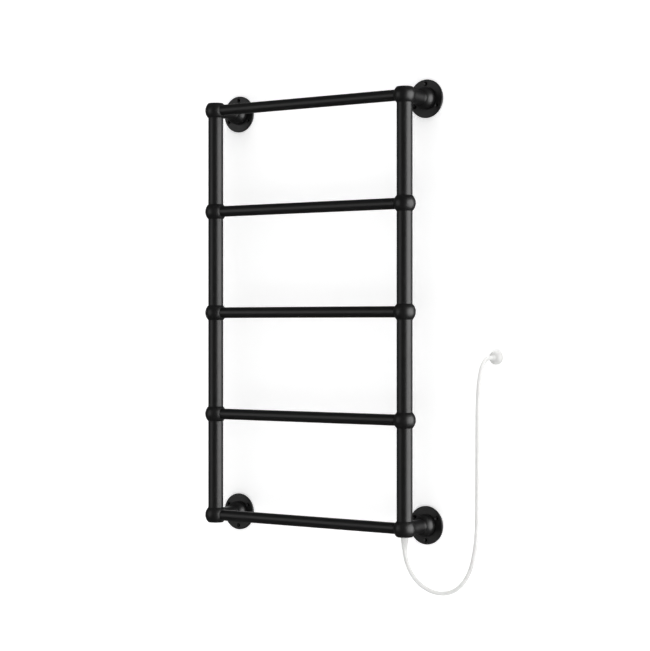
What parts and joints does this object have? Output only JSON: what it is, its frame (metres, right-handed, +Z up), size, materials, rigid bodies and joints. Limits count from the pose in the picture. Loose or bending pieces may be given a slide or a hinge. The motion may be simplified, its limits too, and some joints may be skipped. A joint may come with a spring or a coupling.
{
  "type": "towel warmer rack",
  "caption": "Wall-hung electric towel warmer: round bars between two posts, with ball fittings at the joints, domed standoffs on round wall flanges, and a corded plug.",
  "frame": {"origin": "on the wall plane, at the centre of the four wall flanges", "axes": "+Z up along the posts, +Y into the wall, +X to the right as seen from the room"},
  "size_m": [0.6959, 0.1204, 1.0283],
  "materials": {
    "black_coat": "satin black powder coat, fine texture",
    "black_steel": "black oxide",
    "cable_sheath": "silicone",
    "spacer_rubber": "silicone",
    "block_plastic": "moulded",
    "spring_steel": "plain",
    "lead_sheath": "insulated wire",
    "white_cord": "satin soft plastic",
    "white_plug": "satin moulded",
    "blade_brass": "plain"
  },
  "bodies": {
    "root": {"cable_end_seal": "cable_sheath", "cable_spacers": "spacer_rubber", "cord_gland": "black_coat", "earth_clip": "spring_steel", "end_plug_bottom_left": "black_coat", "end_plug_top_left": "black_coat", "end_plug_top_right": "black_coat", "heating_cable": "cable_sheath", "internal_leads": "lead_sheath", "left_ball_fitting_1": "black_coat", "left_ball_fitting_2": "black_coat", "left_ball_fitting_3": "black_coat", "left_ball_fitting_4": "black_coat", "left_ball_fitting_5": "black_coat", "left_post_tube_1": "black_coat", "left_post_tube_2": "black_coat", "left_post_tube_3": "black_coat", "left_post_tube_4": "black_coat", "plug_blades": "blade_brass", "plug_body": "white_plug", "plug_earth_pin": "blade_brass", "power_cord": "white_cord", "right_ball_fitting_1": "black_coat", "right_ball_fitting_2": "black_coat", "right_ball_fitting_3": "black_coat", "right_ball_fitting_4": "black_coat", "right_ball_fitting_5": "black_coat", "right_post_tube_1": "black_coat", "right_post_tube_2": "black_coat", "right_post_tube_3": "black_coat", "right_post_tube_4": "black_coat", "standoff_bolts": "black_steel", "standoff_bottom_left": "black_coat", "standoff_bottom_right": "black_coat", "standoff_set_screws": "black_steel", "standoff_top_left": "black_coat", "standoff_top_right": "black_coat", "strain_relief": "white_cord", "terminal_block": "block_plastic", "thermal_cutout": "block_plastic", "towel_bar_1": "black_coat", "towel_bar_2": "black_coat", "towel_bar_3": "black_coat", "towel_bar_4": "black_coat", "towel_bar_5": "black_coat", "wall_flange_bottom_left": "black_coat", "wall_flange_bottom_right": "black_coat", "wall_flange_top_left": "black_coat", "wall_flange_top_right": "black_coat"}
  },
  "joints": []
}
